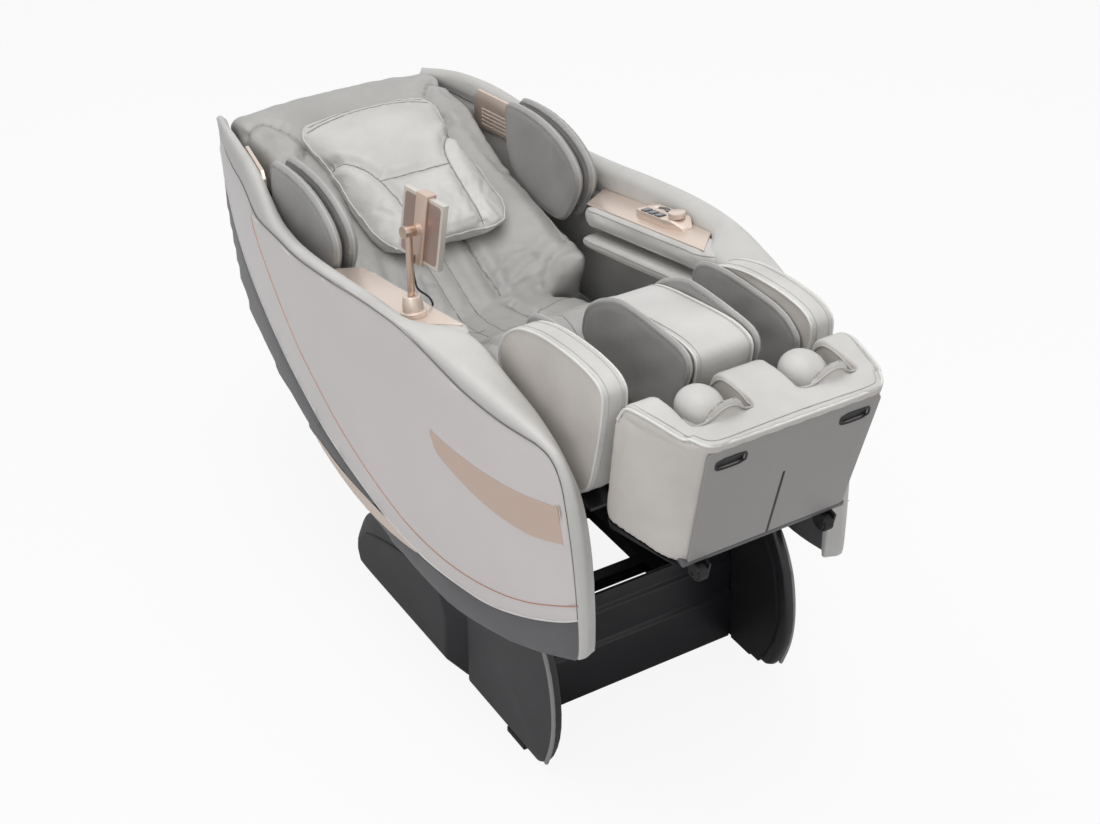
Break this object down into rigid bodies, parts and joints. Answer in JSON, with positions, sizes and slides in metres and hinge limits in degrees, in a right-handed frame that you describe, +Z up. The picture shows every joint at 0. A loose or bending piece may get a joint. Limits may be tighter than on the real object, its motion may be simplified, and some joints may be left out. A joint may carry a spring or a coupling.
{
  "type": "zero gravity massage chair",
  "caption": "Reclining full-body massage chair with padded side walls, armrests, a lifting leg rest, a sliding foot rest and a tablet post.",
  "frame": {"origin": "on the floor, below the middle of the chair's length and width", "axes": "+Z up, the sitter faces -Y, +X to the sitter's left"},
  "size_m": [0.783, 1.7973, 1.0651],
  "materials": {
    "shell": "satin moulded shell, warm white",
    "skirt": "satin dark grey",
    "wall_leather": "soft light grey artificial leather",
    "cushion_leather": "soft light grey artificial leather",
    "pillow_leather": "soft light grey artificial leather",
    "pad_leather": "mid grey artificial leather",
    "calf_leather": "warm light leather",
    "foot_side": "warm white leather side panels",
    "sole_grey": "fine textured grey panel",
    "rose_gold": "brushed rose gold lacquer",
    "base_black": "fine grained black",
    "steel_black": "black powder coat",
    "actuator": "anodised",
    "rod_steel": "polished rod",
    "rubber_black": "matt black rubber",
    "box_black": "black housing",
    "hull_dark": "satin dark grey",
    "key_glass": "glossy dark blue",
    "tablet_case": "gloss front, pale gold rim",
    "lead_black": "black sheath",
    "mech_grey": "satin grey"
  },
  "bodies": {
    "base": {"base_frame": "steel_black", "base_side_left": "base_black", "base_side_right": "base_black", "rear_cover_left": "base_black", "rear_cover_right": "base_black", "cross_panel": "base_black", "base_feet": "rubber_black", "power_box": "box_black", "air_pump": "box_black"},
    "transport_wheels": {"transport_wheels": "rubber_black"},
    "recline_tube": {"recline_tube": "actuator"},
    "recline_rod": {"recline_rod": "rod_steel"},
    "chair": {"seat_frame": "steel_black", "seat_plates": "steel_black", "shell_left": "shell", "shell_right": "shell", "skirt_left": "skirt", "skirt_right": "skirt", "shell_trims": "rose_gold", "wall_pad_left": "wall_leather", "wall_pad_right": "wall_leather", "back_hull": "hull_dark", "back_cushion": "cushion_leather", "seat_cushion": "cushion_leather", "shoulder_outer_left": "pad_leather", "shoulder_outer_right": "pad_leather", "speakers": "rose_gold", "arm_pad_left": "wall_leather", "arm_pad_right": "wall_leather", "arm_plate_left": "rose_gold", "arm_plate_right": "rose_gold", "forearm_pad_left": "wall_leather", "forearm_pad_right": "wall_leather", "keypad": "rose_gold", "tablet_socket": "rose_gold", "tablet_lead": "lead_black"},
    "pillow": {"head_pillow": "pillow_leather"},
    "shoulder_left": {"shoulder_inner_left": "pad_leather"},
    "shoulder_right": {"shoulder_inner_right": "pad_leather"},
    "key_1": {"key_1": "key_glass"},
    "key_2": {"key_2": "key_glass"},
    "key_3": {"key_3": "key_glass"},
    "dial": {"dial": "rose_gold"},
    "post": {"tablet_post": "rose_gold"},
    "tablet": {"tablet_clamp": "rose_gold", "tablet": "tablet_case"},
    "lift_tube": {"lift_tube": "actuator"},
    "lift_rod": {"lift_rod": "rod_steel"},
    "carriage": {"massage_carriage": "mech_grey"},
    "kneading": {"kneading_wheels": "rubber_black"},
    "leg": {"leg_frame": "steel_black", "calf_block_left": "calf_leather", "calf_block_right": "calf_leather", "calf_centre_block": "calf_leather", "calf_leaves": "pad_leather"},
    "foot": {"foot_housing": "foot_side", "sole_panel": "sole_grey", "foot_cushion": "cushion_leather"},
    "sole_rollers": {"foot_rollers": "mech_grey"},
    "casters": {"foot_casters": "rubber_black"}
  },
  "joints": [
    {"name": "recline", "type": "hinge", "parent": "base", "child": "chair", "pos_m": [0, -0.23766, 0.39982], "axis": [-1, 0, 0], "range_deg": [-32, 4]},
    {"name": "recline_tube_swing", "type": "hinge", "parent": "base", "child": "recline_tube", "pos_m": [0, -0.147, 0.06], "axis": [1, 0, 0], "range_deg": [-1.22, 9.44]},
    {"name": "recline_stroke", "type": "slide", "parent": "recline_tube", "child": "recline_rod", "axis": [0, 0.5109, 0.8596], "range_m": [-0.01658, 0.13192]},
    {"name": "leg_lift", "type": "hinge", "parent": "chair", "child": "leg", "pos_m": [0, -0.33748, 0.70012], "axis": [-1, 0, 0], "range_deg": [-48, 5]},
    {"name": "lift_tube_swing", "type": "hinge", "parent": "chair", "child": "lift_tube", "pos_m": [0, -0.13623, 0.45988], "axis": [1, 0, 0], "range_deg": [-0.68, 6.06]},
    {"name": "lift_stroke", "type": "slide", "parent": "lift_tube", "child": "lift_rod", "axis": [0, -0.8444, 0.5356], "range_m": [-0.09275, 0.00975]},
    {"name": "foot_extension", "type": "slide", "parent": "leg", "child": "foot", "axis": [0, -0.9751, -0.2215], "range_m": [0, 0.15]},
    {"name": "sole_roller_spin", "type": "hinge", "parent": "foot", "child": "sole_rollers", "pos_m": [0, -0.81124, 0.7309], "axis": [1, 0, 0], "continuous": true},
    {"name": "caster_spin", "type": "hinge", "parent": "foot", "child": "casters", "pos_m": [0, -0.83037, 0.61275], "axis": [1, 0, 0], "continuous": true},
    {"name": "transport_wheel_spin", "type": "hinge", "parent": "base", "child": "transport_wheels", "pos_m": [0, 0.198, 0.027], "axis": [1, 0, 0], "continuous": true},
    {"name": "massage_travel", "type": "slide", "parent": "chair", "child": "carriage", "axis": [0, 0.9455, 0.3256], "range_m": [-0.215, 0.17]},
    {"name": "kneading_spin", "type": "hinge", "parent": "carriage", "child": "kneading", "pos_m": [0, 0.50937, 0.59981], "axis": [1, 0, 0], "continuous": true},
    {"name": "pillow_lift", "type": "hinge", "parent": "chair", "child": "pillow", "pos_m": [0, 0.7008, 0.82013], "axis": [-1, 0, 0], "range_deg": [0, 105]},
    {"name": "shoulder_press_left", "type": "hinge", "parent": "chair", "child": "shoulder_left", "pos_m": [0.265, 0.178, 0.69], "axis": [0, -0.984, -0.178], "range_deg": [0, 10], "stiffness_Nm_per_rad": 6},
    {"name": "shoulder_press_right", "type": "hinge", "parent": "chair", "child": "shoulder_right", "pos_m": [-0.265, 0.178, 0.69], "axis": [0, 0.984, 0.178], "range_deg": [0, 10], "stiffness_Nm_per_rad": 6},
    {"name": "key_1_press", "type": "slide", "parent": "chair", "child": "key_1", "axis": [0, -0.1908, -0.9816], "range_m": [0, 0.0012], "stiffness_N_per_m": 500, "springref_m": -0.0006},
    {"name": "key_2_press", "type": "slide", "parent": "chair", "child": "key_2", "axis": [0, -0.1908, -0.9816], "range_m": [0, 0.0012], "stiffness_N_per_m": 500, "springref_m": -0.0006},
    {"name": "key_3_press", "type": "slide", "parent": "chair", "child": "key_3", "axis": [0, -0.1908, -0.9816], "range_m": [0, 0.0012], "stiffness_N_per_m": 500, "springref_m": -0.0006},
    {"name": "dial_turn", "type": "hinge", "parent": "chair", "child": "dial", "pos_m": [0.31358, -0.10278, 0.8296], "axis": [0, 0.1908, 0.9816], "continuous": true},
    {"name": "tablet_swivel", "type": "hinge", "parent": "chair", "child": "post", "pos_m": [-0.31199, -0.14938, 0.88], "axis": [0, 0, 1], "range_deg": [-40, 40], "deforming": ["tablet_lead"]},
    {"name": "tablet_turn", "type": "hinge", "parent": "post", "child": "tablet", "pos_m": [-0.31199, -0.14938, 1.00095], "axis": [0.9735, 0.1717, -0.1513], "range_deg": [-90, 90], "deforming": ["tablet_lead"]}
  ],
  "couplings": [
    {"joint": "recline_tube_swing", "follows": "recline", "ratio": -0.2934},
    {"joint": "recline_stroke", "follows": "recline", "m_per_rad": -0.23602},
    {"joint": "lift_tube_swing", "follows": "leg_lift", "ratio": -0.1253},
    {"joint": "lift_stroke", "follows": "leg_lift", "m_per_rad": 0.11059}
  ]
}
